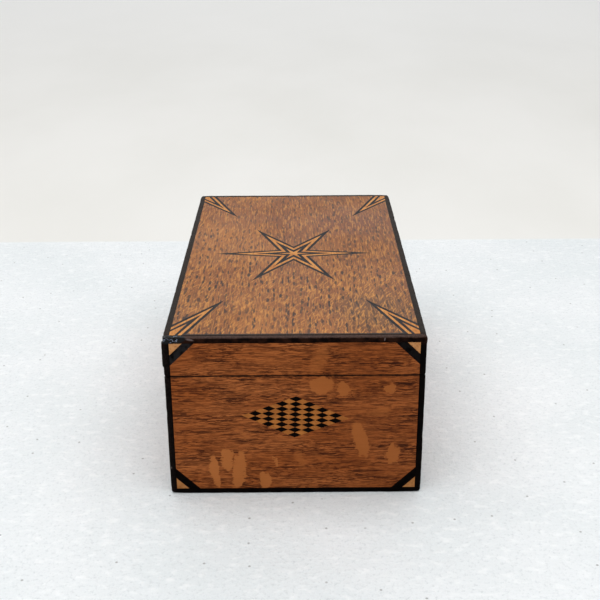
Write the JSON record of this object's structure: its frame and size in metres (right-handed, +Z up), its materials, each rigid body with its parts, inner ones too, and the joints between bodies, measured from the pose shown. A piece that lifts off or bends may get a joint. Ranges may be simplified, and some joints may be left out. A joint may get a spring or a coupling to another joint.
{
  "type": "inlaid box",
  "caption": "Small rectangular oak box with black edge banding, a hinged lid with an inlaid star and corner spears, a chequered lozenge on the end and a small lock.",
  "frame": {"origin": "centre of the flat base, which is the centre of the box in plan", "axes": "+Z up; Y along the box with the near decorated end at -Y; X across it with the lock on the front at -X and the hinges on the back at +X"},
  "size_m": [0.1541, 0.254, 0.106],
  "materials": {
    "oak_side": "quarter-sawn oak, aged and wax polished, mid brown",
    "oak_top": "quarter-sawn oak, aged and wax polished, golden brown",
    "oak_inside": "plain unpolished oak",
    "ebonised": "ebonised hardwood banding, worn polish",
    "inlay_dark": "ebonised stringing, flush and waxed",
    "inlay_light": "yellowed boxwood, flush and waxed",
    "brass": "aged brass, lightly tarnished",
    "steel": "old bright steel, dulled"
  },
  "bodies": {
    "body": {"near_end_board": "oak_side", "far_end_board": "oak_side", "front_board": "oak_side", "back_board": "oak_side", "bottom_board": "oak_inside", "base_band_near": "ebonised", "base_band_far": "ebonised", "base_band_front": "ebonised", "base_band_back": "ebonised", "body_corner_band_near_front": "ebonised", "body_corner_band_near_back": "ebonised", "body_corner_band_far_front": "ebonised", "body_corner_band_far_back": "ebonised", "body_corner_bars": "inlay_dark", "body_corner_triangles": "inlay_light", "near_lozenge_dark": "inlay_dark", "near_lozenge_light": "inlay_light", "far_lozenge_dark": "inlay_dark", "far_lozenge_light": "inlay_light", "hinge_body_leaf_near": "brass", "hinge_body_leaf_far": "brass", "hinge_pin_near": "steel", "hinge_pin_far": "steel", "hinge_body_screws": "brass", "lock_case": "brass", "lock_cap": "brass", "lock_screws": "brass", "keyhole_escutcheon": "brass"},
    "lid": {"lid_panel": "oak_top", "lid_rail_near": "oak_side", "lid_rail_far": "oak_side", "lid_rail_front": "oak_side", "lid_rail_back": "oak_side", "lid_top_band_near": "ebonised", "lid_top_band_far": "ebonised", "lid_top_band_front": "ebonised", "lid_top_band_back": "ebonised", "lid_corner_band_near_front": "ebonised", "lid_corner_band_near_back": "ebonised", "lid_corner_band_far_front": "ebonised", "lid_corner_band_far_back": "ebonised", "lid_corner_bars": "inlay_dark", "lid_corner_triangles": "inlay_light", "star_outline": "inlay_dark", "star_light": "inlay_light", "star_inner": "inlay_dark", "star_core": "inlay_light", "spear_outline": "inlay_dark", "spear_light": "inlay_light", "spear_inner": "inlay_dark", "spear_core": "inlay_light", "hinge_lid_leaf_near": "brass", "hinge_lid_leaf_far": "brass", "hinge_lid_screws": "brass", "lock_link_plate": "brass", "link_plate_screws": "brass"},
    "bolt": {"lock_bolt": "steel"}
  },
  "joints": [
    {"name": "lid_hinge", "type": "hinge", "parent": "body", "child": "lid", "pos_m": [0.0756, 0, 0.08105], "axis": [0, 1, 0], "range_deg": [0, 100]},
    {"name": "lock_bolt_slide", "type": "slide", "parent": "body", "child": "bolt", "axis": [0, 1, 0], "range_m": [0, 0.0033]}
  ]
}
